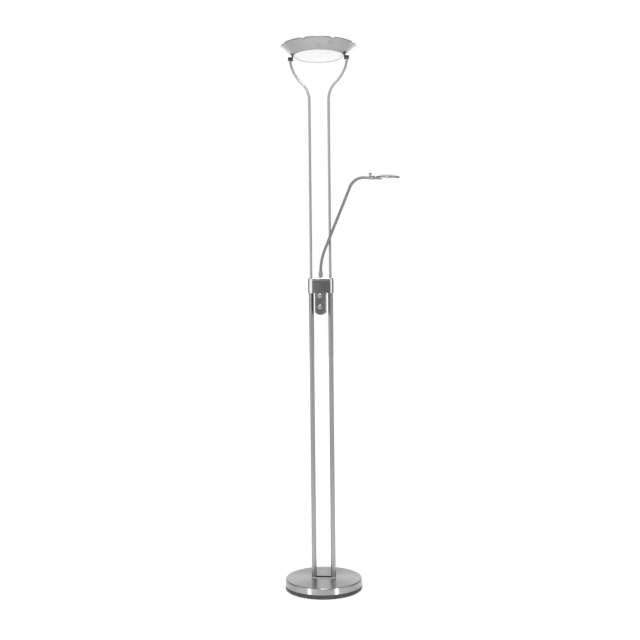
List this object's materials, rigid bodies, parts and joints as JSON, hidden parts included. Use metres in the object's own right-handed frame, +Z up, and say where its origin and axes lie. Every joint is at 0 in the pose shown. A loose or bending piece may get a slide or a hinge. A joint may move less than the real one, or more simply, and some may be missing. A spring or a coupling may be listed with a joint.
{
  "type": "torchiere floor lamp",
  "caption": "Floor lamp with a tilting uplighter dish on a twin column, round weighted base, two rotary dimmers and a bendable reading arm.",
  "frame": {"origin": "centre of the base's underside, on the floor", "axes": "+Z up along the column, -Y towards the front with the dimmer knobs, +X towards the side the reading arm leans to; the two tubes stand on the X axis"},
  "size_m": [0.3938, 0.2579, 1.8],
  "materials": {
    "anti_slip_pad": "matt foam rubber",
    "black_plastic": "fine-grained moulded plastic",
    "steel_hardware": "plain zinc-plated steel",
    "cast_iron": "as cast, painted",
    "brushed_steel_base": "satin nickel, brushed round its axis",
    "brass": "turned",
    "white_plastic": "moulded",
    "brushed_steel_tube": "satin nickel, brushed along the tube",
    "polished_chrome": "polished",
    "zinc_casting": "cast and tumbled",
    "dark_plastic": "satin moulded plastic",
    "circuit_board": "solder mask",
    "white_board": "white solder mask on aluminium",
    "led_emitter": "phosphor",
    "gooseneck_steel": "wound wire, satin",
    "head_metal": "satin nickel over polished edge",
    "aluminium": "bare",
    "opal_diffuser": "opal",
    "frosted_glass": "frosted",
    "brushed_steel_dish": "satin nickel, spun",
    "black_nickel": "black nickel plated",
    "friction_fibre": "matt fibre"
  },
  "bodies": {
    "stand": {"base_pad": "anti_slip_pad", "base_tray": "black_plastic", "tray_screws": "steel_hardware", "base_weight": "cast_iron", "base_cover": "brushed_steel_base", "cable_grommet": "black_plastic", "tube_studs": "brass", "stud_nuts": "steel_hardware", "stud_washers": "steel_hardware", "spacer_bushes": "steel_hardware", "tube_end_plugs": "steel_hardware", "led_driver": "white_plastic", "terminal_block": "white_plastic", "foot_plate": "brushed_steel_tube", "lower_tube_left": "brushed_steel_tube", "lower_tube_right": "brushed_steel_tube", "upper_rod_left": "brushed_steel_tube", "upper_rod_right": "brushed_steel_tube", "tube_cables": "white_plastic", "rod_cables": "white_plastic", "rod_tips": "black_nickel", "bracket_shell": "polished_chrome", "bracket_core": "zinc_casting", "bracket_floor": "zinc_casting", "grub_screws": "steel_hardware", "dimmer_front_shell": "dark_plastic", "dimmer_back_shell": "dark_plastic", "dimmer_screws": "steel_hardware", "dimmer_nipple": "brass", "dimmer_board": "circuit_board", "dimmer_pots": "dark_plastic"},
    "main_dial": {"main_knob": "polished_chrome", "main_shaft": "steel_hardware"},
    "reading_dial": {"reading_knob": "polished_chrome", "reading_shaft": "steel_hardware"},
    "arm_root": {"arm_socket": "polished_chrome", "arm_lock_nut": "steel_hardware", "neck_root": "gooseneck_steel"},
    "arm_lower": {"neck_lower": "gooseneck_steel"},
    "arm_upper": {"neck_upper": "gooseneck_steel"},
    "arm_tip": {"neck_tip": "gooseneck_steel"},
    "ferrule": {"head_ferrule": "polished_chrome"},
    "thumbscrew": {"head_thumbscrew": "polished_chrome"},
    "reading_head": {"head_fork": "gooseneck_steel", "head_pin": "steel_hardware", "head_cap": "head_metal", "head_heat_sink": "aluminium", "head_led_board": "white_board", "head_leds": "led_emitter", "head_diffuser": "opal_diffuser"},
    "dish": {"dish_shell": "brushed_steel_dish", "dish_lugs": "black_nickel", "friction_washers": "friction_fibre", "pivot_screws": "black_nickel", "dish_glass": "frosted_glass", "led_spider": "aluminium", "main_heat_sink": "aluminium", "main_led_board": "white_board", "main_leds": "led_emitter", "main_diffuser": "opal_diffuser"}
  },
  "joints": [
    {"name": "dish_tilt", "type": "hinge", "parent": "stand", "child": "dish", "pos_m": [0, 0, 1.762], "axis": [1, 0, 0], "range_deg": [-45, 45]},
    {"name": "main_dimmer_turn", "type": "hinge", "parent": "stand", "child": "main_dial", "pos_m": [0, -0.03, 0.974], "axis": [0, 1, 0], "range_deg": [0, 270]},
    {"name": "reading_dimmer_turn", "type": "hinge", "parent": "stand", "child": "reading_dial", "pos_m": [0, -0.03, 0.937], "axis": [0, 1, 0], "range_deg": [0, 270]},
    {"name": "arm_swivel", "type": "hinge", "parent": "stand", "child": "arm_root", "pos_m": [0, 0, 1.033], "axis": [0, 0, 1], "range_deg": [-144, 0]},
    {"name": "neck_flex_low", "type": "hinge", "parent": "arm_root", "child": "arm_lower", "pos_m": [0.01541, -0.00501, 1.12705], "axis": [0.309, 0.9511, 0], "range_deg": [-12, 40]},
    {"name": "neck_flex_mid", "type": "hinge", "parent": "arm_lower", "child": "arm_upper", "pos_m": [0.0588, -0.0191, 1.22714], "axis": [0.309, 0.9511, 0], "range_deg": [-12, 40]},
    {"name": "neck_flex_high", "type": "hinge", "parent": "arm_upper", "child": "arm_tip", "pos_m": [0.10218, -0.0332, 1.32724], "axis": [0.309, 0.9511, 0], "range_deg": [-30, 45]},
    {"name": "head_swivel", "type": "hinge", "parent": "arm_tip", "child": "ferrule", "pos_m": [0.16506, -0.05363, 1.35512], "axis": [0.9485, -0.3082, -0.0732], "range_deg": [-90, 90]},
    {"name": "thumbscrew_turn", "type": "hinge", "parent": "ferrule", "child": "thumbscrew", "pos_m": [0.17028, -0.05533, 1.35472], "axis": [0.037, -0.1219, 0.9919], "continuous": true},
    {"name": "head_tilt", "type": "hinge", "parent": "ferrule", "child": "reading_head", "pos_m": [0.18872, -0.06115, 1.3518], "axis": [0.3146, 0.9435, 0.1042], "range_deg": [-45, 60]}
  ]
}
